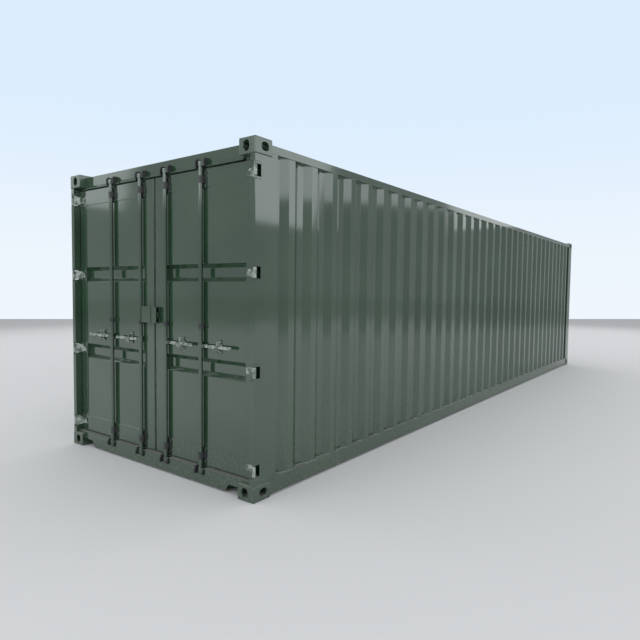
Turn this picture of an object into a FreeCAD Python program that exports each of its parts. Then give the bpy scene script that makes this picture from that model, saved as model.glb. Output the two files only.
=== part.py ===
"""Steel freight container, 32 ft long, 8 ft wide and 8 ft 6 in high.

Frame: X across, Y along the length with the doors at -Y, Z up.
The origin is the middle of the footprint, on the ground under the corner castings.
"Depth" is a distance inwards from the outer faces of the castings at either end.
Everything is in millimetres.
"""
import FreeCAD, Part
import math
import os

os.makedirs("parts", exist_ok=True)

# ---- overall size, over the corner castings
length = 9754.0
width = 2438.0
height = 2591.0

# ---- corner castings, hollow blocks with an oval hole in each outer face
casting_length = 178.0
casting_width = 162.0
casting_height = 118.0
casting_wall = 16.0
casting_plate = 28.5
casting_edge = 7.0
hole_width = 63.5
slot_length = 124.0
side_hole_length = 79.5
slot_from_side = 89.5
slot_from_end = 103.5
end_hole_from_side = 89.0
side_hole_from_end = 101.5

# ---- corner posts, folded plate closed into tubes
post_plate = 6.0
post_recess_side = 3.0
post_recess_end = 4.0
post_depth = 47.0
post_side_face = 240.0
blind_post_width = 100.0
blind_post_depth = 50.0

# ---- side rails
rail_recess = 8.0
top_rail_size = 60.0
top_rail_wall = 3.0
top_rail_drop = 31.0
bottom_rail_low = 22.0
bottom_rail_high = 140.0
bottom_rail_plate = 4.5
bottom_rail_lap = 6.0
bottom_rail_low_flange = 30.0

# ---- door leaves
leaf_front = 66.0
leaf_thickness = 50.0
leaf_low = 143.0
leaf_edge_gap = 7.0
seam_half_gap = 11.0
leaf_wall = 4.0
hinge_stile = 92.0
centre_stile = 129.0
leaf_top_member = 138.0
leaf_bottom_member = 145.5
running_gap = 5.0

# ---- door panels, pressed sheet with two recessed bands
panel_sheet = 2.0
panel_set_back = 4.0
band_depth = 36.0
band_flat = 70.0
band_slope = 35.0
band_heights = (923.0, 1655.0)

# ---- door gasket
gasket_proud = 2.0
gasket_inset = 18.0
gasket_thickness = 16.0
gasket_seam_proud = 5.5

# ---- hinges
hinge_count = 4
hinge_from_leaf_end = 88.0
hinge_axis_in = 12.0
hinge_axis_depth = 14.0
hinge_eye_radius = 12.0
hinge_pin_radius = 7.5
hinge_pin_clearance = 0.75
blade_height = 76.0
blade_thickness = 9.0
blade_strap_length = 80.0
blade_strap_thickness = 8.0
blade_strap_tip = 40.0
lug_thickness = 16.0

# ---- door header and sill
frame_set_back = 6.0
header_top_drop = 21.0
header_height = 117.0
header_plate = 4.0
drip_height = 31.0
drip_reach = 28.0
drip_plate = 3.0
drip_gap = 4.0
sill_low = 13.5
sill_front = 30.0
sill_ledge = 80.0
sill_high = 135.0
sill_plate = 5.0
sill_recess_gap = 4.0
sill_notch_length = 167.0
sill_notch_height = 56.0
sill_notch_slope = 45.0

# ---- blind end header and sill
blind_header_depth = 64.0
blind_sill_depth = 60.0
blind_sill_low = 17.0
blind_plate = 4.0

# ---- corrugated sheets: flat crest, slope, depth
side_sheet = 2.0
side_crest_in = 10.0
side_crest = 72.0
side_slope = 68.0
side_depth = 36.0
side_pitch = 279.0
side_first_crest = 411.0
front_sheet = 2.0
front_crest_in = 8.0
front_crest = 110.0
front_slope = 18.0
front_depth = 45.0
front_pitch = 250.0
front_first_crest = 121.0
roof_sheet = 2.0
roof_drop = 35.0
roof_crest = 91.0
roof_slope = 16.0
roof_depth = 20.0
roof_pitch = 209.0
roof_first_crest = 360.0

# ---- floor and cross members
floor_top = 167.0
floor_thickness = 28.0
floor_side_gap = 8.0
cross_height = 122.0
cross_flange = 45.0
cross_plate = 4.0
cross_pitch = 300.0

# ---- locking bars, cams and keepers
bar_places = (("inner", 170.0), ("outer", 605.0))
bar_back_gap = 1.5
bar_radius = 17.0
bar_wall = 3.5
bar_low_gap = 10.0
bar_over_header = 47.0
collar_wall = 3.0
cam_height = 36.0
cam_reach = 33.0
cam_width = 24.0
keeper_gap = 8.0
keeper_lug = 12.0
header_keeper_reach = 18.0
sill_keeper_reach = 30.0
keeper_base_gap = 4.0
keeper_chamfer = 16.0
header_keeper_height = 66.0
sill_keeper_height = 54.0

# ---- bar brackets on the doors
bracket_width = 90.0
bracket_height = 130.0
bracket_plate = 3.5
bracket_from_top = 18.0
bracket_from_bottom = 17.0
bearing_height = 56.0
bearing_cheek = 5.0
bearing_wall = 4.0
bearing_clearance = 0.9
guide_height = 1240.0
guide_size = 34.0

# ---- handles and their catches
handle_height = 1090.0
handle_reach = 350.0
handle_gap = 5.0
handle_tang = 10.0
handle_width = 24.0
handle_bend_start = 62.0
handle_bend_end = 104.0
handle_forward = 17.0
hub_height = 56.0
hub_wall = 4.0
ear_plate = 6.0
ear_gap = 3.0
handle_pin_radius = 6.0
handle_pin_clearance = 0.75
catch_from_bar = 182.0
catch_base_width = 60.0
catch_base_height = 84.0
catch_block_width = 22.0
catch_shelf_width = 44.0
catch_shelf = 8.0
catch_gap = 5.0
catch_lever_height = 52.0
catch_lever_width = 12.0
catch_lever_thickness = 8.0

# ---- lock box across the seam
lock_low = 1240.0
lock_high = 1375.0
lock_left_reach = 130.0
lock_right_reach = 70.0
lock_front = 23.0
lock_plate = 4.0
lock_half_gap = 4.0

# ---- values worked out from the sizes above
half_length = length / 2
half_width = width / 2
door_end = -half_length
blind_end = half_length
post_out = half_width - post_recess_side
post_in = post_out - post_depth
casting_in = half_width - casting_width
top_castings_low = height - casting_height
rail_out = half_width - rail_recess
bottom_rail_top_flange = rail_out - post_in + bottom_rail_lap
top_rail_high = height - top_rail_drop
top_rail_low = top_rail_high - top_rail_size
leaf_edge = post_in - leaf_edge_gap
leaf_back = leaf_front + leaf_thickness
frame_face = leaf_front + frame_set_back
header_high = height - header_top_drop
header_low = header_high - header_height
leaf_high = header_low - running_gap - gasket_proud
hinge_x = half_width - hinge_axis_in
floor_low = floor_top - floor_thickness
hinge_span = (leaf_high - leaf_low - 2 * hinge_from_leaf_end) / (hinge_count - 1)
hinge_heights = [leaf_low + hinge_from_leaf_end + i * hinge_span for i in range(hinge_count)]
blind_post_in = post_out - blind_post_width
bar_depth = leaf_front - bracket_plate - bar_back_gap - bar_radius
handle_front = bar_depth - handle_forward
bar_low = sill_ledge + bar_low_gap
bar_high = header_low + bar_over_header
collar_radius = bar_radius + collar_wall
hub_radius = bar_radius + hub_wall
bearing_radius = bar_radius + bearing_wall
bearing_half_width = bearing_radius + bearing_cheek
handle_pivot = hub_radius + handle_gap + handle_width / 2
keeper_half_gap = cam_reach + keeper_gap
keeper_half_width = keeper_half_gap + keeper_lug


def vec(x, y, z):
    return FreeCAD.Vector(x, y, z)


def box(x0, x1, y0, y1, z0, z1):
    return Part.makeBox(x1 - x0, y1 - y0, z1 - z0, vec(x0, y0, z0))


def cylinder(x, y, z, radius, long, direction):
    return Part.makeCylinder(radius, long, vec(x, y, z), direction)


def prism(points, sweep):
    """A closed outline of (x, y, z) points pushed along the sweep vector."""
    wire = Part.makePolygon([vec(*p) for p in points + points[:1]])
    return Part.Face(wire).extrude(sweep)


def fuse(shapes):
    joined = shapes[0].fuse(shapes[1:])
    return joined.removeSplitter()


def mirror_x(shape):
    return shape.mirror(vec(0, 0, 0), vec(1, 0, 0))


def mirror_y(shape):
    return shape.mirror(vec(0, 0, 0), vec(0, 1, 0))


def save(name, shapes):
    """Write one node; several solids that don't touch share it as a compound."""
    shape = shapes[0] if len(shapes) == 1 else Part.makeCompound(shapes)
    shape.exportStep(os.path.join("parts", name + ".step"))


def save_pair(name, right_shapes):
    """Write the right-hand node and its mirror image on the left."""
    save("right_" + name, right_shapes)
    save("left_" + name, [mirror_x(s) for s in right_shapes])


def corrugated(start, end, first_crest, pitch, crest, slope, depth):
    """Outer line of a pressed sheet as (place, height) points, 0 on the crests.

    The crests are spread evenly between the two end ones, as near the wanted pitch
    as a whole number of them allows, and the sheet starts and ends in a valley.
    """
    low = start + first_crest
    span = end - first_crest - low
    steps = max(1, round(span / pitch))
    line = [(start, -depth)]
    for i in range(steps + 1):
        centre = low + span * i / steps
        line.append((centre - crest / 2 - slope, -depth))
        line.append((centre - crest / 2, 0.0))
        line.append((centre + crest / 2, 0.0))
        line.append((centre + crest / 2 + slope, -depth))
    line.append((end, -depth))
    return line


def sheet_outline(line, thickness):
    """Close a corrugated line into a sheet by a second line one thickness lower."""
    return line + [(place, rise - thickness) for place, rise in reversed(line)]


# ---- corner castings --------------------------------------------------------------

def stadium(centre, along, across, normal, long, wide, deep):
    """An oval cutter: a straight middle with two round ends, deep in both directions."""
    run = (long - wide) / 2
    start = centre - normal * deep
    ends = [Part.makeCylinder(wide / 2, 2 * deep, start + along * s, normal) for s in (-run, run)]
    corners = [start + along * a + across * b
               for a, b in ((-run, -wide / 2), (run, -wide / 2), (run, wide / 2), (-run, wide / 2))]
    middle = Part.Face(Part.makePolygon(corners + corners[:1])).extrude(normal * (2 * deep))
    return ends[0].fuse([middle, ends[1]])


def casting(top):
    """The right-hand casting at the blind end, for the top or the bottom corner."""
    z0 = top_castings_low if top else 0.0
    z1 = z0 + casting_height
    y0 = blind_end - casting_length
    block = box(casting_in, half_width, y0, blind_end, z0, z1)
    block = block.makeFillet(casting_edge, block.Edges)
    plate_low = casting_wall if top else casting_plate
    plate_high = casting_plate if top else casting_wall
    cavity = box(casting_in + casting_wall, half_width - casting_wall,
                 y0 + casting_wall, blind_end - casting_wall, z0 + plate_low, z1 - plate_high)
    x, y, z = vec(1, 0, 0), vec(0, 1, 0), vec(0, 0, 1)
    middle = z0 + casting_height / 2
    reach = casting_plate + casting_edge
    slot_face = z1 if top else z0
    slot = stadium(vec(half_width - slot_from_side, blind_end - slot_from_end, slot_face),
                   y, x, z, slot_length, hole_width, reach)
    end_hole = stadium(vec(half_width - end_hole_from_side, blind_end, middle),
                       z, x, y, side_hole_length, hole_width, reach)
    side_hole = stadium(vec(half_width, blind_end - side_hole_from_end, middle),
                        y, z, x, side_hole_length, hole_width, reach)
    return block.cut([cavity, slot, end_hole, side_hole])


for level, top in (("top", True), ("bottom", False)):
    block = casting(top)
    save("blind_end_" + level + "_castings", [block, mirror_x(block)])
    save("door_end_" + level + "_castings", [mirror_y(block), mirror_y(mirror_x(block))])


# ---- corner posts -----------------------------------------------------------------

def tube_post(inset, blind):
    """One layer of a right-hand post at the blind end, shrunk on its sides by inset.

    The front part stands between the castings; the rear part, past the castings,
    reaches from the bottom rail up to the top rail.
    """
    face = blind_end - post_recess_end - inset
    rear = blind_end - post_side_face + inset
    step = blind_end - casting_length + inset
    low = casting_height
    high = top_castings_low
    front = box(post_in + inset, post_out - inset, step, face, low, high)
    back = box(post_in + inset, post_out - inset, rear, step, bottom_rail_high, top_rail_low)
    parts = [front, back]
    if inset:
        parts.append(box(post_in + inset, post_out - inset, step - 2 * inset, step + inset,
                         bottom_rail_high + inset, high - inset))
    if blind:
        deep = blind_end - post_recess_end - blind_post_depth + inset
        parts.append(box(blind_post_in + inset, post_out - inset, deep, face, low, high))
    return parts[0].fuse(parts[1:])


def post(blind):
    shell = tube_post(0.0, blind).removeSplitter()
    return shell.cut(tube_post(post_plate, blind))


notch_half = blade_height / 2 + running_gap + lug_thickness
door_post = mirror_y(post(False))
notches = [box(post_in - 1, half_width + 1, door_end - 1, door_end + leaf_front,
               z - notch_half, z + notch_half) for z in hinge_heights]
save_pair("door_post", [door_post.cut(notches)])
save_pair("blind_post", [post(True)])


# ---- side rails, side walls, roof and front wall ------------------------------------

rail_start = door_end + casting_length
rail_end = blind_end - casting_length

top_rail = box(rail_out - top_rail_size, rail_out, rail_start, rail_end, top_rail_low, top_rail_high)
bore = box(rail_out - top_rail_size + top_rail_wall, rail_out - top_rail_wall,
           rail_start, rail_end, top_rail_low + top_rail_wall, top_rail_high - top_rail_wall)
save_pair("top_rail", [top_rail.cut(bore)])

web = rail_out - bottom_rail_plate
rail_section = [
    (rail_out, rail_start, bottom_rail_low),
    (rail_out, rail_start, bottom_rail_high),
    (rail_out - bottom_rail_top_flange, rail_start, bottom_rail_high),
    (rail_out - bottom_rail_top_flange, rail_start, bottom_rail_high - bottom_rail_plate),
    (web, rail_start, bottom_rail_high - bottom_rail_plate),
    (web, rail_start, bottom_rail_low + bottom_rail_plate),
    (rail_out - bottom_rail_low_flange, rail_start, bottom_rail_low + bottom_rail_plate),
    (rail_out - bottom_rail_low_flange, rail_start, bottom_rail_low),
]
save_pair("bottom_rail", [prism(rail_section, vec(0, rail_end - rail_start, 0))])

side_line = corrugated(door_end + post_side_face, blind_end - post_side_face,
                       side_first_crest - post_side_face, side_pitch,
                       side_crest, side_slope, side_depth)
side_face = half_width - side_crest_in
side_outline = [(side_face + rise, place, bottom_rail_high)
                for place, rise in sheet_outline(side_line, side_sheet)]
save_pair("side_wall", [prism(side_outline, vec(0, 0, top_rail_low - bottom_rail_high))])

front_line = corrugated(-blind_post_in, blind_post_in, front_first_crest, front_pitch,
                        front_crest, front_slope, front_depth)
front_face = blind_end - front_crest_in
front_outline = [(place, front_face + rise, bottom_rail_high)
                 for place, rise in sheet_outline(front_line, front_sheet)]
save("front_wall", [prism(front_outline, vec(0, 0, top_castings_low - bottom_rail_high))])

roof_half = rail_out - top_rail_size
roof_line = corrugated(rail_start, rail_end, roof_first_crest, roof_pitch,
                       roof_crest, roof_slope, roof_depth)
roof_outline = [(-roof_half, place, height - roof_drop + rise)
                for place, rise in sheet_outline(roof_line, roof_sheet)]
roof_end = blind_end - blind_header_depth
roof_low = height - roof_drop - roof_depth - roof_sheet
roof_tail = box(-casting_in, casting_in, rail_end, roof_end, roof_low, roof_low + roof_sheet)
save("roof", [fuse([prism(roof_outline, vec(2 * roof_half, 0, 0)), roof_tail])])


# ---- header and sill over and under the doors ---------------------------------------

def runs_between_bars(end, gap):
    """Stretches from -end to end that stop short of the keepers at each locking bar."""
    edges = [-end]
    for x in sorted(side * x for side in (-1, 1) for _, x in bar_places):
        edges += [x - keeper_half_width - gap, x + keeper_half_width + gap]
    edges.append(end)
    return [(edges[i], edges[i + 1]) for i in range(0, len(edges), 2)]


header_back = door_end + casting_length
header_front = door_end + frame_face
header = fuse([
    box(-casting_in, casting_in, header_front, header_back, header_low, header_high),
    box(-post_in, post_in, header_front, header_back, header_low, top_castings_low),
])
header_void = box(-casting_in, casting_in, header_front + header_plate, header_back - header_plate,
                  header_low + header_plate, header_high - header_plate)
save("door_header", [header.cut(header_void)])

strips = []
for x0, x1 in runs_between_bars(casting_in - drip_gap, drip_gap):
    section = [
        (x0, header_front, header_low + drip_height),
        (x0, header_front - drip_reach, header_low + drip_plate),
        (x0, header_front - drip_reach, header_low),
        (x0, header_front, header_low),
    ]
    strips.append(prism(section, vec(x1 - x0, 0, 0)))
save("drip_strip", strips)


def sill_section(inset):
    """Outline across the sill's beam and its raised door stop, shrunk by inset."""
    face = header_front + inset
    stop = door_end + leaf_back + 2 * running_gap + inset
    back = header_back - inset
    low = sill_low + inset
    return [
        (-casting_in, face, low),
        (-casting_in, face, sill_high - inset),
        (-casting_in, stop, sill_high - inset),
        (-casting_in, stop, floor_top - inset),
        (-casting_in, back, floor_top - inset),
        (-casting_in, back, low),
    ]


sill_run = vec(2 * casting_in, 0, 0)
sill = prism(sill_section(0.0), sill_run)
sill_ends = box(-post_in, post_in, header_front, header_back, casting_height, sill_high)
threshold_ends = box(-post_in, post_in, door_end + leaf_back + 2 * running_gap, header_back,
                     casting_height, floor_top)
sill = fuse([sill, sill_ends, threshold_ends]).cut(prism(sill_section(sill_plate), sill_run))
notch_top = sill_low + sill_notch_height
notch_in = casting_in - sill_notch_length
sill_notch = prism([
    (notch_in, door_end, 0.0),
    (notch_in, door_end, sill_low),
    (notch_in + sill_notch_slope, door_end, notch_top),
    (casting_in + 1, door_end, notch_top),
    (casting_in + 1, door_end, 0.0),
], vec(0, casting_length, 0))
sill_notches = [sill_notch, mirror_x(sill_notch)]
save("door_sill", [sill.cut(sill_notches)])


def front_plate(x0, x1, z0, z1, cheek, floor):
    """Folded plate in front of the sill's beam, open to the beam behind it.

    cheek is the thickness of its ends and floor that of its underside; 0 leaves them open.
    """
    y0 = door_end + sill_front
    return box(x0, x1, y0, header_front, z0, z1).cut(
        box(x0 + cheek, x1 - cheek, y0 + sill_plate, header_front, z0 + floor, z1 - sill_plate))


sill_front_pieces = [
    front_plate(-casting_in, casting_in, sill_low, sill_ledge, 0.0, sill_plate).cut(sill_notches),
    front_plate(casting_in, post_in, casting_height, sill_high, 0.0, 0.0),
    front_plate(-post_in, -casting_in, casting_height, sill_high, 0.0, 0.0),
]
for x0, x1 in runs_between_bars(casting_in, sill_recess_gap):
    sill_front_pieces.append(front_plate(x0, x1, sill_ledge, sill_high, sill_plate, 0.0))
save("sill_face", sill_front_pieces)

blind_face = blind_end - post_recess_end
blind_header = box(-casting_in, casting_in, blind_end - blind_header_depth, blind_face,
                   top_castings_low, top_rail_high)
blind_header_void = box(-casting_in, casting_in, blind_end - blind_header_depth + blind_plate,
                        blind_face - blind_plate, top_castings_low + blind_plate,
                        top_rail_high - blind_plate)
save("blind_end_header", [blind_header.cut(blind_header_void)])

blind_sill = fuse([
    box(-casting_in, casting_in, blind_end - blind_sill_depth, blind_face,
        blind_sill_low, bottom_rail_high),
    box(-blind_post_in, blind_post_in, blind_end - blind_sill_depth, blind_face,
        casting_height, bottom_rail_high),
])
blind_sill_void = box(-casting_in, casting_in, blind_end - blind_sill_depth + blind_plate,
                      blind_face - blind_plate, blind_sill_low + blind_plate,
                      bottom_rail_high - blind_plate)
save("blind_end_sill", [blind_sill.cut(blind_sill_void)])


# ---- floor and cross members ----------------------------------------------------------

floor_half = side_face - side_depth - floor_side_gap
floor_half = min(floor_half, rail_out - bottom_rail_top_flange)
floor_start = header_back
floor_end = blind_end - blind_sill_depth
save("floor", [box(-floor_half, floor_half, floor_start, floor_end, floor_low, floor_top)])

cross_low = floor_low - cross_height
cross_half = rail_out - bottom_rail_top_flange
first_cross = rail_start + cross_pitch / 2
cross_span = rail_end - rail_start - cross_pitch
cross_steps = max(1, round(cross_span / cross_pitch))
cross_members = []
for i in range(cross_steps + 1):
    y = first_cross + cross_span * i / cross_steps
    section = [
        (-cross_half, y, cross_low),
        (-cross_half, y + cross_flange, cross_low),
        (-cross_half, y + cross_flange, cross_low + cross_plate),
        (-cross_half, y + cross_plate, cross_low + cross_plate),
        (-cross_half, y + cross_plate, floor_low - cross_plate),
        (-cross_half, y + cross_flange, floor_low - cross_plate),
        (-cross_half, y + cross_flange, floor_low),
        (-cross_half, y, floor_low),
    ]
    cross_members.append(prism(section, vec(2 * cross_half, 0, 0)))
save("cross_members", cross_members)


# ---- hinge lugs and pins, on the posts --------------------------------------------------

hinge_y = door_end + hinge_axis_depth
up = vec(0, 0, 1)
lugs = []
for z in hinge_heights:
    pieces = [cylinder(hinge_x, hinge_y, z - notch_half, hinge_pin_radius, 2 * notch_half, up)]
    for z0 in (z - notch_half, z + notch_half - lug_thickness):
        pieces.append(cylinder(hinge_x, hinge_y, z0, hinge_eye_radius, lug_thickness, up))
        pieces.append(box(post_in, post_out, hinge_y, door_end + leaf_front,
                          z0, z0 + lug_thickness))
    lugs.append(fuse(pieces))
save_pair("hinge_lugs", lugs)


# ---- door leaves ------------------------------------------------------------------------

leaf_y0 = door_end + leaf_front
leaf_y1 = door_end + leaf_back
panel_x0 = seam_half_gap + centre_stile
panel_x1 = leaf_edge - hinge_stile
panel_z0 = leaf_low + leaf_bottom_member
panel_z1 = leaf_high - leaf_top_member

leaf = box(seam_half_gap, leaf_edge, leaf_y0, leaf_y1, leaf_low, leaf_high)
daylight = box(panel_x0, panel_x1, leaf_y0 - 1, leaf_y1 + 1, panel_z0, panel_z1)
ring = box(seam_half_gap + leaf_wall, leaf_edge - leaf_wall, leaf_y0 + leaf_wall,
           leaf_y1 - leaf_wall, leaf_low + leaf_wall, leaf_high - leaf_wall)
ring = ring.cut(box(panel_x0 - leaf_wall, panel_x1 + leaf_wall, leaf_y0, leaf_y1,
                    panel_z0 - leaf_wall, panel_z1 + leaf_wall))
save_pair("door_frame", [leaf.cut([daylight, ring])])

panel_y = leaf_y0 + panel_set_back
panel_line = [(panel_z0, 0.0)]
for z in band_heights:
    panel_line += [
        (z - band_flat / 2 - band_slope, 0.0),
        (z - band_flat / 2, -band_depth),
        (z + band_flat / 2, -band_depth),
        (z + band_flat / 2 + band_slope, 0.0),
    ]
panel_line.append((panel_z1, 0.0))
panel_outline = [(panel_x0, panel_y - rise, place)
                 for place, rise in sheet_outline(panel_line, panel_sheet)]
save_pair("door_panel", [prism(panel_outline, vec(panel_x1 - panel_x0, 0, 0))])

gasket_y0 = leaf_y0 + gasket_inset
gasket_y1 = gasket_y0 + gasket_thickness
gasket = box(seam_half_gap - gasket_seam_proud, leaf_edge + gasket_proud, gasket_y0, gasket_y1,
             leaf_low - gasket_proud, leaf_high + gasket_proud)
save_pair("door_gasket", [gasket.cut(box(seam_half_gap, leaf_edge, gasket_y0, gasket_y1,
                                         leaf_low, leaf_high))])

strap_y0 = leaf_y0 - blade_strap_thickness
arm_from = vec(leaf_edge - hinge_pin_radius, leaf_y0 - blade_strap_thickness / 2, 0)
arm_to = vec(hinge_x, hinge_y, 0)
arm = arm_to - arm_from
offset = vec(-arm.y, arm.x, 0).normalize() * (blade_thickness / 2)
blades = []
for z in hinge_heights:
    low = vec(0, 0, z - blade_height / 2)
    rise = vec(0, 0, blade_height)
    corners = [arm_from + offset + low, arm_to + offset + low,
               arm_to - offset + low, arm_from - offset + low]
    blade = fuse([
        cylinder(hinge_x, hinge_y, low.z, hinge_eye_radius, blade_height, up),
        Part.Face(Part.makePolygon(corners + corners[:1])).extrude(rise),
        prism([
            (leaf_edge - blade_strap_length, strap_y0, z - blade_strap_tip / 2),
            (leaf_edge, strap_y0, low.z),
            (leaf_edge, strap_y0, low.z + blade_height),
            (leaf_edge - blade_strap_length, strap_y0, z + blade_strap_tip / 2),
        ], vec(0, blade_strap_thickness, 0)),
    ])
    bore = cylinder(hinge_x, hinge_y, low.z, hinge_pin_radius + hinge_pin_clearance,
                    blade_height, up)
    blades.append(blade.cut(bore))
save_pair("hinge_blades", blades)


# ---- bar brackets, guides and handle catches, on the doors ---------------------------------

bar_y = door_end + bar_depth


def bearing(x, z0, z1, back):
    """A saddle that holds a bar off the door, with a running bore round the bar."""
    body = fuse([
        box(x - bearing_half_width, x + bearing_half_width, bar_y, back, z0, z1),
        cylinder(x, bar_y, z0, bearing_radius, z1 - z0, up),
    ])
    return body.cut(cylinder(x, bar_y, z0, bar_radius + bearing_clearance, z1 - z0, up))


def bracket(x, z0, back):
    """A bearing on its foot plate, upright on the top or bottom member of a leaf."""
    front = back - bracket_plate
    plate = box(x - bracket_width / 2, x + bracket_width / 2, front, back, z0, z0 + bracket_height)
    middle = z0 + bracket_height / 2
    return fuse([plate, bearing(x, middle - bearing_height / 2, middle + bearing_height / 2, front)])


def catch(x):
    """A handle catch: foot plate, block and lever behind the handle, shelf under it."""
    shelf_top = handle_height - handle_width / 2 - catch_gap
    block_front = door_end + handle_front + handle_tang + catch_gap
    z0 = handle_height - catch_base_height / 2
    base = fuse([
        box(x - catch_base_width / 2, x + catch_base_width / 2, panel_y - bracket_plate, panel_y,
            z0, z0 + catch_base_height),
        box(x - catch_block_width / 2, x + catch_block_width / 2, block_front, panel_y,
            shelf_top - catch_shelf, handle_height + handle_width),
        box(x - catch_lever_width / 2, x + catch_lever_width / 2, block_front,
            block_front + catch_lever_thickness,
            handle_height - catch_lever_height, handle_height + catch_lever_height),
    ])
    shelf = box(x - catch_shelf_width / 2, x + catch_shelf_width / 2, door_end + handle_front,
                panel_y, shelf_top - catch_shelf, shelf_top)
    return [base, shelf.cut(base)]


fittings = []
for _, x in bar_places:
    fittings.append(bracket(x, leaf_high - bracket_from_top - bracket_height, leaf_y0))
    fittings.append(bracket(x, leaf_low + bracket_from_bottom, leaf_y0))
    fittings.append(bearing(x, guide_height - guide_size / 2, guide_height + guide_size / 2, panel_y))
    fittings += catch(x + catch_from_bar)
save_pair("bar_brackets", fittings)


# ---- lock box, one part on each door -------------------------------------------------------

def lock_part(reach, closed_end):
    """Right-hand part of the box that shields the padlock, open towards the seam."""
    y0 = door_end + lock_front
    outer = box(lock_half_gap, reach, y0, leaf_y0, lock_low, lock_high)
    inner_end = reach - lock_plate if closed_end else reach
    return outer.cut(box(lock_half_gap, inner_end, y0 + lock_plate, leaf_y0,
                         lock_low + lock_plate, lock_high - lock_plate))


save("right_lock_box", [lock_part(lock_right_reach, False)])
save("left_lock_box", [mirror_x(lock_part(lock_left_reach, True))])


# ---- locking bars and handles ------------------------------------------------------------------

across = vec(0, 1, 0)
tang_y0 = bar_y - handle_tang / 2


def ear_shape(x, y0, thick):
    """A rounded plate from the hub out to the handle's pivot."""
    z0 = handle_height - handle_width / 2
    return fuse([
        box(x, x + handle_pivot, y0, y0 + thick, z0, z0 + handle_width),
        cylinder(x + handle_pivot, y0, handle_height, handle_width / 2, thick, across),
    ])


def locking_bar(x):
    """Tube with a cam at each end and a forked hub that carries the handle."""
    pieces = [
        cylinder(x, bar_y, bar_low, bar_radius, bar_high - bar_low, up),
        cylinder(x, bar_y, handle_height - hub_height / 2, hub_radius, hub_height, up),
    ]
    for z0 in (bar_low, bar_high - cam_height):
        pieces.append(cylinder(x, bar_y, z0, collar_radius, cam_height, up))
        pieces.append(box(x, x + cam_reach, bar_y - cam_width / 2, bar_y + cam_width / 2,
                          z0, z0 + cam_height))
    front = tang_y0 - ear_gap - ear_plate
    back = tang_y0 + handle_tang + ear_gap
    pieces.append(ear_shape(x, front, ear_plate))
    pieces.append(ear_shape(x, back, ear_plate))
    pieces.append(cylinder(x + handle_pivot, front, handle_height, handle_pin_radius,
                           back + ear_plate - front, across))
    inside = cylinder(x, bar_y, bar_low + cam_height, bar_radius - bar_wall,
                      bar_high - bar_low - 2 * cam_height, up)
    return fuse(pieces).cut(inside)


def handle(x):
    """A flat bar on its pivot, bent forwards so that fingers fit behind the grip."""
    z0 = handle_height - handle_width / 2
    grip_y0 = door_end + handle_front
    outline = [
        (x + handle_pivot, tang_y0, z0),
        (x + handle_bend_start, tang_y0, z0),
        (x + handle_bend_end, grip_y0, z0),
        (x + handle_reach, grip_y0, z0),
        (x + handle_reach, grip_y0 + handle_tang, z0),
        (x + handle_bend_end, grip_y0 + handle_tang, z0),
        (x + handle_bend_start, tang_y0 + handle_tang, z0),
        (x + handle_pivot, tang_y0 + handle_tang, z0),
    ]
    body = fuse([
        prism(outline, vec(0, 0, handle_width)),
        cylinder(x + handle_pivot, tang_y0, handle_height, handle_width / 2, handle_tang, across),
    ])
    return body.cut(cylinder(x + handle_pivot, tang_y0, handle_height,
                             handle_pin_radius + handle_pin_clearance, handle_tang, across))


for place, x in bar_places:
    save_pair(place + "_bar", [locking_bar(x)])
    save_pair(place + "_handle", [handle(x)])


# ---- keepers on the header and the sill, either side of each bar end ------------------------------

def keeper(x, reach, z0, z1):
    """Two lugs, one each side of the bar at x, that reach in front of the bar's axis."""
    front = bar_y - reach
    near = x + keeper_half_gap
    lug = prism([
        (near, header_front, z0),
        (near, header_front, z1),
        (near, front + keeper_chamfer, z1),
        (near, front, z1 - keeper_chamfer),
        (near, front, z0),
    ], vec(keeper_lug, 0, 0))
    return [lug, lug.mirror(vec(x, 0, 0), vec(1, 0, 0))]


keepers = []
keeper_low = header_low + keeper_base_gap
for _, bar_x in bar_places:
    for x in (-bar_x, bar_x):
        keepers += keeper(x, header_keeper_reach, keeper_low, keeper_low + header_keeper_height)
        keepers += keeper(x, sill_keeper_reach, sill_ledge, sill_ledge + sill_keeper_height)
save("bar_keepers", keepers)
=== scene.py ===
"""Steel freight container: the finish of every piece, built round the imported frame.

Metres, X across, Y along the length with the doors at -Y, Z up. The sections follow the
order in which such a box is welded together and fitted out.
"""
import math

import bmesh
import bpy
from mathutils import Matrix, Vector


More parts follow.
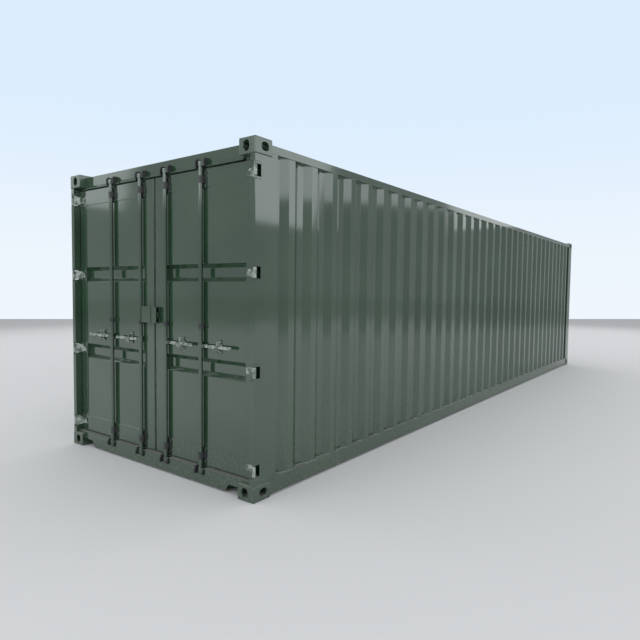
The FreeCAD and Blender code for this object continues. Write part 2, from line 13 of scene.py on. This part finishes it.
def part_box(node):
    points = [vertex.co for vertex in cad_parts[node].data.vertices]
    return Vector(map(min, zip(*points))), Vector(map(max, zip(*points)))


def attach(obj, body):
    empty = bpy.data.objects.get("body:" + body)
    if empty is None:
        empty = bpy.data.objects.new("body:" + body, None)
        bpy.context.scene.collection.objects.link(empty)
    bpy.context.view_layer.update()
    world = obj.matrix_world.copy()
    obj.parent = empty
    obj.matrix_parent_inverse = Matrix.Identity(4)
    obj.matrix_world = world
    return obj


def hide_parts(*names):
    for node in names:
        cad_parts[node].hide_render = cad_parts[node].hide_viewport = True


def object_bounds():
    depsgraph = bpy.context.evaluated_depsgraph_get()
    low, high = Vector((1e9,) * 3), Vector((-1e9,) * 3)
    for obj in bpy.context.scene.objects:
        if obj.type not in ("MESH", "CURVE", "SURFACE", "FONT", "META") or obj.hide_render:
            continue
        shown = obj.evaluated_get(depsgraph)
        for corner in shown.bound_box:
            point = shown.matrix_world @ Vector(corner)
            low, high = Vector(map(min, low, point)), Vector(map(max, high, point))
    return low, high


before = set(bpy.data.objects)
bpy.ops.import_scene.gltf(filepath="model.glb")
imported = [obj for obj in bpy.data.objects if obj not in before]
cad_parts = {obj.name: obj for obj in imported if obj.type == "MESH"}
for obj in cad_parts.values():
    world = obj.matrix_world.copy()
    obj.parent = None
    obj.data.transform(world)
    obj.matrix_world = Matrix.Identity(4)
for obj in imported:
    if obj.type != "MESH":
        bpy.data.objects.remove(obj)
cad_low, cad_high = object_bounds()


# ---- Corner castings ---------------------------------------------------------------------
# Eight hollow blocks of cast steel, one welded into each corner, with an oval hole in every
# outer face for twist locks and hooks. Their sandy cast skin shows through the green gloss.

class Value:
    """A number that changes over a surface; arithmetic on it adds Math nodes."""

    def __init__(self, finish, socket):
        self.finish = finish
        self.socket = socket

    def math(self, operation, *values):
        return self.finish.node("ShaderNodeMath", {"operation": operation}, dict(enumerate(values)))

    def __add__(self, other):
        return self.math("ADD", self, other)

    def __sub__(self, other):
        return self.math("SUBTRACT", self, other)

    def __rsub__(self, other):
        return self.math("SUBTRACT", other, self)

    def __mul__(self, other):
        return self.math("MULTIPLY", self, other)

    def __truediv__(self, other):
        return self.math("DIVIDE", self, other)

    __radd__ = __add__
    __rmul__ = __mul__

    def step(self, low, high, low_value=0.0, high_value=1.0):
        """Goes smoothly from low_value to high_value as this value goes from low to high."""
        return self.finish.node(
            "ShaderNodeMapRange", {"interpolation_type": "SMOOTHSTEP"},
            {"Value": self, "From Min": low, "From Max": high, "To Min": low_value, "To Max": high_value})


class Finish:
    """One procedural finish: a material with its shader, and the nodes that vary it."""

    def __init__(self, name, constants=None):
        self.material = bpy.data.materials.new(name)
        self.material.use_nodes = True
        self.tree = self.material.node_tree
        self.shader = self.tree.nodes["Principled BSDF"]
        for socket, value in (constants or {}).items():
            self.shader.inputs[socket].default_value = value
        self.place = self.node("ShaderNodeTexCoord", output="Object")
        self.height = self.part("Z")

    def node(self, kind, settings=None, values=None, output=0):
        made = self.tree.nodes.new(kind)
        for key, setting in (settings or {}).items():
            setattr(made, key, setting)
        for key, value in (values or {}).items():
            if isinstance(value, Value):
                self.tree.links.new(value.socket, made.inputs[key])
            else:
                made.inputs[key].default_value = value
        return Value(self, made.outputs[output])

    def part(self, axis, vector=None):
        return self.node("ShaderNodeSeparateXYZ", values={"Vector": vector or self.place}, output=axis)

    def noise(self, scale, detail=2.0, stretch=(1, 1, 1)):
        """Soft noise from 0 to 1; scale is spots a metre, stretch crowds them along an axis."""
        place = self.node("ShaderNodeMapping", values={"Vector": self.place, "Scale": stretch})
        return self.node("ShaderNodeTexNoise", values={"Vector": place, "Scale": scale, "Detail": detail})

    def mix(self, share, first, second):
        """One colour turning into another as share goes from 0 to 1."""
        return self.node("ShaderNodeMix", {"data_type": "RGBA"}, {0: share, 6: first, 7: second}, output=2)

    def bump(self, height, depth, under=None):
        """A relief whose height of 1 stands depth metres proud, on top of another relief."""
        values = {"Height": height, "Distance": depth}
        if under:
            values["Normal"] = under
        return self.node("ShaderNodeBump", values=values)

    def wire(self, colour, rough, relief):
        """Links what varies over the surface to the shader, and hands over the material."""
        for socket, value in (("Base Color", colour), ("Roughness", rough), ("Normal", relief)):
            self.tree.links.new(value.socket, self.shader.inputs[socket])
        return self.material


gloss_index = 2.0
green = (0.022, 0.058, 0.030, 1)
green_thin = (0.032, 0.074, 0.040, 1)
# The pale dust colour also serves as a painted highlight on low upward ledges.
dust = (0.28, 0.27, 0.24, 1)


def gloss_green(name, cast=0.0, ripple=0.0, ripple_scale=2.2):
    """Dark green gloss over steel, with a patchy film, fine orange peel and a little dust; upward faces low down are
    lightened by dust and a painted highlight.

    cast roughens the metal under it, and ripple is how far a sheet bows in metres.
    """
    f = Finish(name, {"IOR": gloss_index})
    up = f.part("Z", f.node("ShaderNodeNewGeometry", output="Normal"))
    film = f.noise(1.3, 4.0).step(0.35, 0.68)
    colour = f.mix(film, green, green_thin)
    speckle = f.noise(38.0, 6.0)
    # Upward faces near the foot turn pale: settled dust, and a painted highlight along low ledges such as the sill's.
    ledge_dust_and_highlight = f.height.step(0.12, 0.4, 0.45, 0.0)
    settled_dust_and_highlight = up.step(0.55, 0.98) * (ledge_dust_and_highlight + speckle.step(0.3, 0.7, 0.12, 0.26))
    splash = f.height.step(0.02, 0.55, 0.16, 0.0) * speckle.step(0.45, 0.75)
    dust_and_highlight = settled_dust_and_highlight + splash
    colour = f.mix(dust_and_highlight, colour, dust)
    rough = film * 0.02 + speckle * 0.03 + dust_and_highlight * 0.9 + 0.05
    relief = f.bump(f.noise(240.0, 1.0), 0.00002)
    if cast:
        relief = f.bump(f.noise(110.0, 5.0), cast, relief)
        rough = rough + 0.14
    if ripple:
        relief = f.bump(f.noise(ripple_scale, 1.5, (1, 1, 0.45)), ripple, relief)
    return f.wire(colour, rough, relief)


def settle(bm, name, body, finish, stands_for=(), smooth=32):
    """Turns a finished bmesh into a piece that rides on its body."""
    mesh = bpy.data.meshes.new(name)
    bm.to_mesh(mesh)
    bm.free()
    mesh.shade_smooth()
    mesh.set_sharp_from_angle(angle=math.radians(smooth))
    mesh.materials.append(finish)
    piece = bpy.data.objects.new(name, mesh)
    bpy.context.scene.collection.objects.link(piece)
    even = piece.modifiers.new("even", "WEIGHTED_NORMAL")
    even.keep_sharp = True
    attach(piece, body)
    if stands_for:
        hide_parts(*stands_for)
    return piece


def welded(*nodes):
    """A bmesh of some CAD nodes with their corners merged and their flat faces whole."""
    bm = bmesh.new()
    for node in nodes:
        bm.from_mesh(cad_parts[node].data)
    bmesh.ops.remove_doubles(bm, verts=bm.verts, dist=1e-5)
    bmesh.ops.dissolve_limit(bm, angle_limit=math.radians(1.5), verts=bm.verts, edges=bm.edges)
    return bm


def is_sharp(edge, least=40):
    return edge.is_manifold and edge.calc_face_angle(0) > math.radians(least)


def round_over(bm, radius, segments=2, keep=is_sharp):
    """Rounds the edges that keep picks."""
    bmesh.ops.bevel(bm, geom=[e for e in bm.edges if keep(e)], offset=radius, segments=segments,
                    affect="EDGES", profile=0.5, material=-1, clamp_overlap=True)


def dress(node, body, finish, radius, segments=2, keep=is_sharp):
    """Replaces a CAD node by a copy with rounded edges."""
    bm = welded(node)
    round_over(bm, radius, segments, keep)
    return settle(bm, node + "_dressed", body, finish, (node,))


cast_green = gloss_green("cast_green", cast=0.0006)
for end in ("door_end", "blind_end"):
    for level in ("top", "bottom"):
        dress(f"{end}_{level}_castings", "container", cast_green, 0.0025)


# ---- Corner posts ------------------------------------------------------------------------
# Folded 6 mm plate closed into tubes between the castings. The posts by the doors are
# notched four times for the hinges.

frame_green = gloss_green("frame_green", ripple=0.0006)
sides = (("left", -1), ("right", 1))
for side, _ in sides:
    dress(f"{side}_door_post", "container", frame_green, 0.003)
    dress(f"{side}_blind_post", "container", frame_green, 0.004)


# ---- Side rails --------------------------------------------------------------------------
# A square tube along each top edge and a folded channel along each bottom edge, running
# from casting to casting.

for side, _ in sides:
    dress(f"{side}_top_rail", "container", frame_green, 0.005, 3)
    dress(f"{side}_bottom_rail", "container", frame_green, 0.002)


# ---- Headers and sills -------------------------------------------------------------------
# Folded tubes across both ends. Over the doors a sloped strip throws rain off, in short
# runs that leave room for the locking bars; the sill has a ledge and a raised door stop.

for node in ("door_header", "drip_strip", "door_sill", "blind_end_header", "blind_end_sill"):
    dress(node, "container", frame_green, 0.0025 if node != "drip_strip" else 0.001)


# ---- Sill face ---------------------------------------------------------------------------
# Pressed plate in front of the sill's beam. Its ends are cut away over the casting, and four
# recesses let the locking bars down behind its face.

def span(node):
    """The lowest and highest corners of a CAD node at rest."""
    low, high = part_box(node)
    return Vector(low), Vector(high)


def prism(bm, outline, sweep):
    """A closed outline of points pushed along a vector into a solid; gives its vertices."""
    corners = [bm.verts.new(point) for point in outline]
    face = bm.faces.new(corners)
    made = bmesh.ops.extrude_face_region(bm, geom=[face])
    moved = [v for v in made["geom"] if isinstance(v, bmesh.types.BMVert)]
    bmesh.ops.translate(bm, verts=moved, vec=sweep)
    return corners + moved


def block(bm, low, high):
    """A box from its lowest to its highest corner."""
    outline = [(x, y, low[2]) for x, y in
               ((low[0], low[1]), (high[0], low[1]), (high[0], high[1]), (low[0], high[1]))]
    return prism(bm, outline, (0, 0, high[2] - low[2]))


low, high = span("sill_face")
casting_in = cad_high[0] - 0.162
ledge = 0.080
recess_half = 0.057
notch_foot = casting_in - 0.167
notch_top = 0.0695
plate = 0.005
outline = [(-notch_foot, low.z), (notch_foot, low.z), (notch_foot + 0.045, notch_top),
           (casting_in, notch_top), (casting_in, 0.118), (high.x, 0.118), (high.x, high.z)]
for x in (0.605, 0.170, -0.170, -0.605):
    outline += [(x + recess_half, high.z), (x + recess_half, ledge),
                (x - recess_half, ledge), (x - recess_half, high.z)]
outline += [(low.x, high.z), (low.x, 0.118), (-casting_in, 0.118), (-casting_in, notch_top),
            (-notch_foot - 0.045, notch_top)]
bm = bmesh.new()
prism(bm, [(x, low.y, z) for x, z in outline], (0, plate, 0))
bmesh.ops.recalc_face_normals(bm, faces=bm.faces)
round_over(bm, 0.0018, 2)
settle(bm, "sill_face_plate", "container", frame_green, ("sill_face",))
bm = bmesh.new()
edges = [low.x] + [x + s * recess_half for x in (-0.605, -0.170, 0.170, 0.605) for s in (-1, 1)] + [high.x]
for x0, x1 in zip(edges[::2], edges[1::2]):
    block(bm, (x0, low.y + plate, high.z - plate), (x1, high.y, high.z))
for x in (-0.605, -0.170, 0.170, 0.605):
    block(bm, (x - recess_half, low.y + plate, ledge - plate), (x + recess_half, high.y, ledge))
    for x0 in (x - recess_half - plate, x + recess_half):
        block(bm, (x0, low.y + plate, ledge - plate), (x0 + plate, high.y, high.z - plate))
block(bm, (-notch_foot, low.y + plate, low.z), (notch_foot, high.y, low.z + plate))
settle(bm, "sill_face_folds", "container", frame_green)


# ---- Side walls --------------------------------------------------------------------------
# 2 mm sheet pressed into upright trapezoid folds, joined from several widths and welded to
# the posts and rails. The folds have a bend radius, and the flats bow a little.

sheet_green = gloss_green("sheet_green", ripple=0.0015)
wall_bend = 0.012


def upright(edge):
    run = edge.verts[0].co - edge.verts[1].co
    return is_sharp(edge, 20) and abs(run.z) > 0.5


def bead(line, name, radius):
    """A round weld bead laid along a line of points."""
    curve = bpy.data.curves.new(name, "CURVE")
    curve.dimensions = "3D"
    curve.bevel_depth = radius
    curve.bevel_resolution = 1
    curve.use_fill_caps = True
    spline = curve.splines.new("POLY")
    spline.points.add(len(line) - 1)
    for point, place in zip(spline.points, line):
        point.co = (*place, 1)
    holder = bpy.data.objects.new(name, curve)
    mesh = bpy.data.meshes.new_from_object(holder)
    bpy.data.objects.remove(holder)
    bm = bmesh.new()
    bm.from_mesh(mesh)
    return bm


weld_radius = 0.0035
for side, sign in sides:
    bm = welded(f"{side}_side_wall")
    round_over(bm, wall_bend, 4, upright)
    low = min(v.co.z for v in bm.verts)
    high = max(v.co.z for v in bm.verts)
    rim = {}
    for v in bm.verts:
        if v.co.z < low + 1e-4:
            key = round(v.co.y, 3)
            rim[key] = max(rim.get(key, -9), sign * v.co.x)
    settle(bm, f"{side}_side_wall_dressed", "container", sheet_green,
           (f"{side}_side_wall",))
    for level, z in (("bottom", low), ("top", high)):
        line = [Vector((sign * x, y, z)) for y, x in sorted(rim.items())]
        settle(bead(line, "bead", weld_radius), f"{side}_{level}_wall_weld", "container",
               frame_green)


# ---- Blind end wall ----------------------------------------------------------------------
# The wall at the closed end is the same sheet with deeper, steeper folds.

bm = welded("front_wall")
round_over(bm, 0.008, 3, upright)
settle(bm, "front_wall_dressed", "container", sheet_green, ("front_wall",))


# ---- Roof --------------------------------------------------------------------------------
# One skin of sheet with shallow folds across it, so that water runs off to the sides.

def across(edge):
    run = edge.verts[0].co - edge.verts[1].co
    return is_sharp(edge, 20) and abs(run.x) > 0.5


bm = welded("roof")
round_over(bm, 0.004, 2, across)
settle(bm, "roof_dressed", "container", sheet_green, ("roof",))


# ---- Cross members -----------------------------------------------------------------------
# Folded channels across the underside carry the floor between the bottom rails.

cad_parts["cross_members"].data.materials[0] = frame_green


# ---- Floor -------------------------------------------------------------------------------
# 28 mm plywood sheets laid end to end, screwed to the cross members and varnished brown.

def rod(bm, start, along, radius, segments=32):
    """A closed cylinder from a point along a vector."""
    along = Vector(along)
    turned = Vector((0, 0, 1)).rotation_difference(along).to_matrix().to_4x4()
    place = Matrix.Translation(Vector(start) + along / 2) @ turned
    return bmesh.ops.create_cone(bm, cap_ends=True, segments=segments, radius1=radius, radius2=radius,
                                 depth=along.length, matrix=place)["verts"]


def plywood(name):
    """Red-brown hardwood ply under varnish, with grain along Y, scrapes and trodden dust."""
    f = Finish(name, {"IOR": 1.5})
    grain = f.noise(60.0, 6.0, (1, 0.06, 1))
    patch = f.noise(1.6, 3.0).step(0.3, 0.7)
    colour = f.mix(grain.step(0.3, 0.7), (0.13, 0.062, 0.03, 1), (0.26, 0.135, 0.068, 1))
    colour = f.mix(patch * 0.4, colour, (0.20, 0.12, 0.075, 1))
    scrapes = f.noise(26.0, 5.0, (1, 0.04, 1)).step(0.60, 0.72)
    colour = f.mix(scrapes * 0.55, colour, (0.36, 0.27, 0.19, 1))
    rough = patch * 0.12 + scrapes * 0.3 + grain * 0.1 + 0.38
    return f.wire(colour, rough, f.bump(grain, 0.0004))


plywood_brown = plywood("plywood_brown")
bare_steel = Finish("bare_steel", {"Metallic": 1.0})
steel_patch = bare_steel.noise(90.0, 4.0)
bare_steel.wire(bare_steel.mix(steel_patch.step(0.4, 0.65), (0.32, 0.31, 0.29, 1), (0.16, 0.11, 0.08, 1)),
                steel_patch * 0.3 + 0.3, bare_steel.bump(steel_patch, 0.0002))
low, high = span("floor")
sheet_count = 8
joint = 0.003
sheet_long = (high.y - low.y) / sheet_count
bm = bmesh.new()
for column in (0, 1):
    for row in range(sheet_count):
        x0 = low.x if column == 0 else joint / 2
        x1 = -joint / 2 if column == 0 else high.x
        y0 = low.y + row * sheet_long + (joint if row else 0)
        block(bm, (x0, y0, low.z), (x1, low.y + (row + 1) * sheet_long, high.z))
round_over(bm, 0.0015, 1)
settle(bm, "floor_sheets", "container", plywood_brown, ("floor",))
bm = bmesh.new()
screw_rows = 32
for row in range(screw_rows):
    y = low.y + 0.15 + (high.y - low.y - 0.3) * row / (screw_rows - 1)
    for column in range(10):
        x = low.x + 0.05 + (high.x - low.x - 0.1) * column / 9
        rod(bm, (x, y, high.z - 0.004), (0, 0, 0.0046), 0.0065, 10)
settle(bm, "floor_screws", "container", bare_steel.material)


# ---- Hinge lugs --------------------------------------------------------------------------
# Four pairs of forged lugs with their pins on each door post, welded into the notches.

gear_green = gloss_green("gear_green")
for side, _ in sides:
    dress(f"{side}_hinge_lugs", "container", gear_green, 0.004, 3)


# ---- Bar keepers -------------------------------------------------------------------------
# Forged lugs welded to the header and the sill on both sides of each locking bar's end,
# coloured near-black as painted shade.

def painted_shade_forging(name):
    """Forged steel coloured near-black in random patches as painted shade, with greasy spots less rough."""
    f = Finish(name, {"IOR": 1.5})
    patch = f.noise(30.0, 5.0).step(0.35, 0.68)
    grease = f.noise(9.0, 3.0).step(0.4, 0.7)
    colour = f.mix(patch, (0.030, 0.034, 0.034, 1), (0.062, 0.062, 0.066, 1))
    return f.wire(colour, grease * -0.12 + 0.40, f.bump(f.noise(160.0, 4.0), 0.0002))


shade_dark_steel = painted_shade_forging("shade_dark_steel")
dress("bar_keepers", "container", shade_dark_steel, 0.004, 3)


# ---- Door frames -------------------------------------------------------------------------
# Each leaf is a welded rectangle of folded channel, 50 mm thick.

for side, _ in sides:
    dress(f"{side}_door_frame", f"{side}_door", frame_green, 0.003)


# ---- Door panels -------------------------------------------------------------------------
# Pressed sheet with two deep bands across it, seam-welded into the leaf's frame. It bows
# gently between the bands.

panel_green = gloss_green("panel_green", ripple=0.0022, ripple_scale=1.7)


def filleted(line, radius, steps=4):
    """A line of (along, out) points with its corners rounded."""
    points = [Vector(p) for p in line]
    made = [points[0]]
    for before, corner, after in zip(points, points[1:], points[2:]):
        start = (before - corner).normalized()
        end = (after - corner).normalized()
        cut = radius / math.tan(start.angle(end) / 2)
        first, last = corner + start * cut, corner + end * cut
        for i in range(steps + 1):
            t = i / steps
            made.append(first * (1 - t) ** 2 + corner * 2 * t * (1 - t) + last * t ** 2)
    return made + [points[-1]]


def thickened(line, thickness):
    """The same line moved sideways by the sheet's thickness."""
    moved = []
    for i, point in enumerate(line):
        run = line[min(i + 1, len(line) - 1)] - line[max(i - 1, 0)]
        moved.append(point + Vector((run.y, -run.x)).normalized() * thickness)
    return moved


band_heights = (0.923, 1.655)
band_flat = 0.035
band_slope = 0.035
band_depth = 0.036
panel_sheet = 0.002
for side, sign in sides:
    low, high = span(f"{side}_door_panel")
    line = [(low.z, 0.0)]
    for z in band_heights:
        line += [(z - band_flat - band_slope, 0.0), (z - band_flat, -band_depth),
                 (z + band_flat, -band_depth), (z + band_flat + band_slope, 0.0)]
    line = filleted(line + [(high.z, 0.0)], 0.006)
    section = line + thickened(line, panel_sheet)[::-1]
    bm = bmesh.new()
    prism(bm, [(low.x, low.y - p.y, p.x) for p in section], (high.x - low.x, 0, 0))
    bmesh.ops.recalc_face_normals(bm, faces=bm.faces)
    settle(bm, f"{side}_door_panel_made", f"{side}_door", panel_green,
           (f"{side}_door_panel",), 50)
    for level, z in (("low", low.z), ("high", high.z)):
        line = [Vector((low.x, low.y, z)), Vector((high.x, low.y, z))]
        settle(bead(line, "bead", 0.0025), f"{side}_panel_{level}_weld", f"{side}_door",
               frame_green)


# ---- Door gaskets ------------------------------------------------------------------------
# A rubber strip round the edge of each leaf, with a soft lip that meets the frame.

def reflect(bm):
    """Turns a right-hand piece into its left-hand twin."""
    bmesh.ops.scale(bm, vec=(-1, 1, 1), verts=bm.verts)
    bmesh.ops.reverse_faces(bm, faces=bm.faces)


def rubber(name):
    """Matt rubber, greyed by chalking and dust."""
    f = Finish(name, {"IOR": 1.5})
    chalk = f.noise(14.0, 5.0).step(0.35, 0.7)
    grain = f.noise(400.0, 2.0)
    colour = f.mix(chalk, (0.075, 0.080, 0.078, 1), (0.15, 0.155, 0.145, 1))
    return f.wire(colour, chalk * 0.15 + 0.55, f.bump(grain, 0.00008))


door_rubber = rubber("door_rubber")
for side, sign in sides:
    low, high = span(f"{side}_door_gasket")
    inner, outer = sorted((abs(low.x), abs(high.x)))
    leaf_in, leaf_out = inner + 0.0055, outer - 0.002
    leaf_bottom, leaf_top = low.z + 0.002, high.z - 0.002
    lip = 0.0025
    bm = bmesh.new()
    for x0, x1, z0, z1 in ((inner, leaf_in, low.z - lip, high.z + lip), (leaf_out, outer, low.z - lip, high.z + lip),
                           (leaf_in, leaf_out, leaf_top, high.z + lip), (leaf_in, leaf_out, low.z - lip, leaf_bottom)):
        block(bm, (x0, low.y - 0.012, z0), (x1, high.y, z1))
    if sign < 0:
        reflect(bm)
    bmesh.ops.recalc_face_normals(bm, faces=bm.faces)
    round_over(bm, 0.0008, 2)
    settle(bm, f"{side}_door_gasket_made", f"{side}_door", door_rubber, (f"{side}_door_gasket",))


# ---- Hinge blades ------------------------------------------------------------------------
# Forged blades that turn on the pins, each with a tapered strap welded over the leaf's edge.

def green_with_painted_highlights(name):
    """Green gloss patched with pale grey-green as painted highlights, over a wavy forged face."""
    f = Finish(name, {"IOR": gloss_index})
    painted_highlight_share = f.noise(26.0, 6.0).step(0.36, 0.60)
    colour = f.mix(painted_highlight_share, green_thin, (0.36, 0.40, 0.36, 1))
    return f.wire(colour, painted_highlight_share * 0.2 + 0.10, f.bump(f.noise(15.0, 1.0), 0.004))


highlight_green = green_with_painted_highlights("green_with_painted_highlights")
# The blades' pale patches are painted highlights.
for side, _ in sides:
    dress(f"{side}_hinge_blades", f"{side}_door", highlight_green, 0.006, 4)


# ---- Bar brackets and catches ------------------------------------------------------------
# Bearings and foot plates that hold the locking bars off the leaves, and the catches that
# hold the handles down. Hexagon bolts fasten the foot plates.

def hex_bolt(bm, x, y, z, size=0.0085):
    """A bolt head with its washer on a face towards -Y at y."""
    rod(bm, (x, y, z), (0, -0.0015, 0), size * 1.25, 24)
    head = rod(bm, (x, y - 0.0015, z), (0, -0.006, 0), size, 6)
    rim = [e for e in bm.edges if all(v in head for v in e.verts)
           and all(v.co.y < y - 0.007 for v in e.verts)]
    bmesh.ops.bevel(bm, geom=rim, offset=0.001, segments=1, affect="EDGES", profile=0.5, material=-1)


bar_places = (("inner", 0.170), ("outer", 0.605))
handle_z = 1.090
leaf_low, leaf_high = span("right_door_frame")
plate_face = leaf_low.y - 0.0035
panel_face = span("right_door_panel")[0].y - 0.0035
# The catches take the green with pale painted highlights.
# The foot plates take the near-black painted shade.
for side, sign in sides:
    for part, far, finish, stands_for in (("feet", True, shade_dark_steel, (f"{side}_bar_brackets",)),
                                          ("catches", False, highlight_green, ())):
        bm = welded(f"{side}_bar_brackets")
        bmesh.ops.delete(bm, geom=[v for v in bm.verts if (abs(v.co.z - handle_z) > 0.12) != far],
                         context="VERTS")
        round_over(bm, 0.003, 3)
        settle(bm, f"{side}_bar_{part}", f"{side}_door", finish, stands_for)
    bm = bmesh.new()
    for _, x in bar_places:
        for z in (leaf_low.z + 0.017 + 0.065, leaf_high.z - 0.018 - 0.065):
            for across_bar in (-0.036, 0.036):
                for rise in (-0.048, 0.048):
                    hex_bolt(bm, sign * (x + across_bar), plate_face, z + rise)
        for across_bar in (-0.021, 0.021):
            for rise in (-0.030, 0.030):
                hex_bolt(bm, sign * (x + 0.182 + across_bar), panel_face, handle_z + rise, 0.0065)
    settle(bm, f"{side}_bracket_bolts", f"{side}_door", gear_green)


# ---- Lock boxes --------------------------------------------------------------------------
# Welded plate boxes in front of the seam that shield a padlock; a steel tongue crosses
# from one to the other.

for side, _ in sides:
    dress(f"{side}_lock_box", f"{side}_door", frame_green, 0.0028, 3)
low, high = span("right_lock_box")
middle = (low.z + high.z) / 2
bm = bmesh.new()
prism(bm, [(low.x + 0.002, low.y + 0.012, middle - 0.022), (high.x - 0.010, low.y + 0.012, middle - 0.022),
           (high.x - 0.003, low.y + 0.012, middle - 0.012), (high.x - 0.003, low.y + 0.012, middle + 0.012),
           (high.x - 0.010, low.y + 0.012, middle + 0.022), (low.x + 0.002, low.y + 0.012, middle + 0.022)],
      (0, 0.027, 0))
round_over(bm, 0.002)
settle(bm, "lock_tongue", "right_door", gear_green)


# ---- Locking bars ------------------------------------------------------------------------
# Round steel tubes down each leaf, with a cast cam and collar at each end that grips the
# keepers, and a forked hub that carries the handle.

bar_radius = 0.017
collar_radius = 0.020
hub_radius = 0.021
cam_reach = 0.033
cam_half = 0.012
cam_tall = 0.036
handle_half = 0.012
pivot_reach = 0.038
tang_half = 0.005
ear_gap = 0.003
ear_plate = 0.006


def rounded_end(x0, x1, radius, z, y):
    """Outline across Y of a plate from x0 to a round end centred at x1."""
    arc = [(x1 + radius * math.cos(a), y, z + radius * math.sin(a))
           for a in (math.radians(-90 + 180 * i / 16) for i in range(17))]
    return [(x0, y, z - radius)] + arc + [(x0, y, z + radius)]


for side, sign in sides:
    for place, x in bar_places:
        node = f"{side}_{place}_bar"
        low, high = span(node)
        y = cad_low[1] + 0.044
        bm = bmesh.new()
        rod(bm, (x, y, low.z + 0.002), (0, 0, high.z - low.z - 0.004), bar_radius)
        for z in (low.z, high.z - cam_tall):
            rod(bm, (x, y, z), (0, 0, cam_tall), collar_radius)
            prism(bm, [(x, y - cam_half, z), (x + cam_reach - 0.006, y - cam_half, z),
                       (x + cam_reach, y - cam_half * 0.4, z), (x + cam_reach, y + cam_half * 0.4, z),
                       (x + cam_reach - 0.006, y + cam_half, z), (x, y + cam_half, z)],
                  (0, 0, cam_tall))
        rod(bm, (x, y, handle_z - 0.028), (0, 0, 0.056), hub_radius)
        for y0 in (y - tang_half - ear_gap - ear_plate, y + tang_half + ear_gap):
            prism(bm, rounded_end(x, x + pivot_reach, handle_half, handle_z, y0), (0, ear_plate, 0))
        reach = tang_half + ear_gap + ear_plate
        rod(bm, (x + pivot_reach, y - reach - 0.002, handle_z), (0, 2 * reach + 0.004, 0), 0.006)
        if sign < 0:
            reflect(bm)
        bmesh.ops.recalc_face_normals(bm, faces=bm.faces)
        round_over(bm, 0.0015, 2)
        settle(bm, node + "_made", node, gear_green, (node,))


# ---- Handles -----------------------------------------------------------------------------
# Flat forged bars that lie along the leaves in their catches, bent forwards past the pivot
# and rounded where the hand goes.

# The handles' pale patches are painted highlights.
for side, _ in sides:
    for place, _ in bar_places:
        node = f"{side}_{place}_handle"
        dress(node, node, highlight_green, 0.0045, 3)


# ---- Camera and studio --------------------------------------------------------------------
# A pale floor, a soft sky and a camera low off the right-hand corner of the door end, looking
# along the side.

scene = bpy.context.scene
scene.view_settings.view_transform = "Standard"

lens = bpy.data.cameras.new("camera")
lens.sensor_width = 36.0
lens.lens = 30.04
lens.clip_end = 500.0
camera = bpy.data.objects.new("camera", lens)
scene.collection.objects.link(camera)
door_plane = cad_low[1]
camera.location = (3.818, door_plane - 2.708, 1.528)
turn, tilt, roll = (math.radians(a) for a in (36.809, -3.16, -0.698))
camera.matrix_world = (Matrix.Translation(camera.location) @ Matrix.Rotation(turn, 4, "Z")
                       @ Matrix.Rotation(math.pi / 2 + tilt, 4, "X") @ Matrix.Rotation(-roll, 4, "Z"))
scene.camera = camera


def studio(name, bm, finish, seen, mirrored):
    """Puts a studio piece in place, seen by the camera, in reflections, or both."""
    mesh = bpy.data.meshes.new(name)
    bm.to_mesh(mesh)
    bm.free()
    mesh.materials.append(finish)
    made = bpy.data.objects.new(name, mesh)
    scene.collection.objects.link(made)
    made.visible_camera = seen
    made.visible_glossy = mirrored
    if not mirrored:
        made.visible_diffuse = made.visible_shadow = made.visible_transmission = False
    return made


def glow(name):
    """A surface that only shines; its colour is linked to the emission."""
    return Finish(name, {"Base Color": (0, 0, 0, 1), "Roughness": 1.0, "IOR": 1.0,
                         "Emission Strength": 1.0})


def shine(f, colour):
    f.tree.links.new(colour.socket, f.shader.inputs["Emission Color"])
    return f.material


# The floor ends on a line that lies level in the picture.
far_left, far_right = Vector((-23.383, 3.524, 0)), Vector((-0.133, 30.935, 0))
along = (far_right - far_left).normalized()
back = Vector((along.y, -along.x, 0))
bm = bmesh.new()
bm.faces.new([bm.verts.new(p) for p in (
    far_left - along * 90, far_left - along * 90 + back * 130,
    far_right + along * 90 + back * 130, far_right + along * 90)])
bmesh.ops.recalc_face_normals(bm, faces=bm.faces)
pale = Finish("studio_floor", {"Base Color": (0.80, 0.79, 0.785, 1), "Roughness": 0.9, "IOR": 1.3})
studio("studio_floor", bm, pale.material, True, True)

# Sky behind the object.
f = glow("seen_sky")
bm = bmesh.new()
bmesh.ops.create_uvsphere(bm, u_segments=48, v_segments=32, radius=200.0)
shine(f, f.mix(f.height.step(0.0, 70.0), (0.86, 0.92, 0.98, 1), (0.72, 0.85, 0.99, 1)))
studio("seen_sky", bm, f.material, True, False)

# Soft boxes over the roof, before both ends and along both sides; the gloss mirrors them.
def soft_box(name, place, aim, width, height, power):
    """A large rectangular lamp at place that faces aim."""
    lamp = bpy.data.lights.new(name, "AREA")
    lamp.shape = "RECTANGLE"
    lamp.size, lamp.size_y = width, height
    lamp.energy = power
    lamp.color = (0.95, 0.98, 1.0)
    made = bpy.data.objects.new(name, lamp)
    scene.collection.objects.link(made)
    facing = (Vector(aim) - Vector(place)).to_track_quat("-Z", "Y").to_matrix().to_4x4()
    made.matrix_world = Matrix.Translation(place) @ facing


soft_box("soft_box_over", (0, 0, 12), (0, 0, 0), 14, 22, 420)
soft_box("soft_box_right", (15, 0, 7.5), (1.2, 0, 1.5), 30, 6, 700)
soft_box("soft_box_left", (-15, 0, 7.5), (-1.2, 0, 1.5), 30, 6, 550)
soft_box("soft_box_doors", (0, -18, 7.5), (0, -4.9, 1.5), 20, 6, 650)
soft_box("soft_box_far_end", (0, 18, 7.5), (0, 4.9, 1.5), 20, 6, 400)

world = bpy.data.worlds.new("daylight")
scene.world = world
world.use_nodes = True
world.node_tree.nodes["Background"].inputs["Color"].default_value = (0.46, 0.48, 0.50, 1)
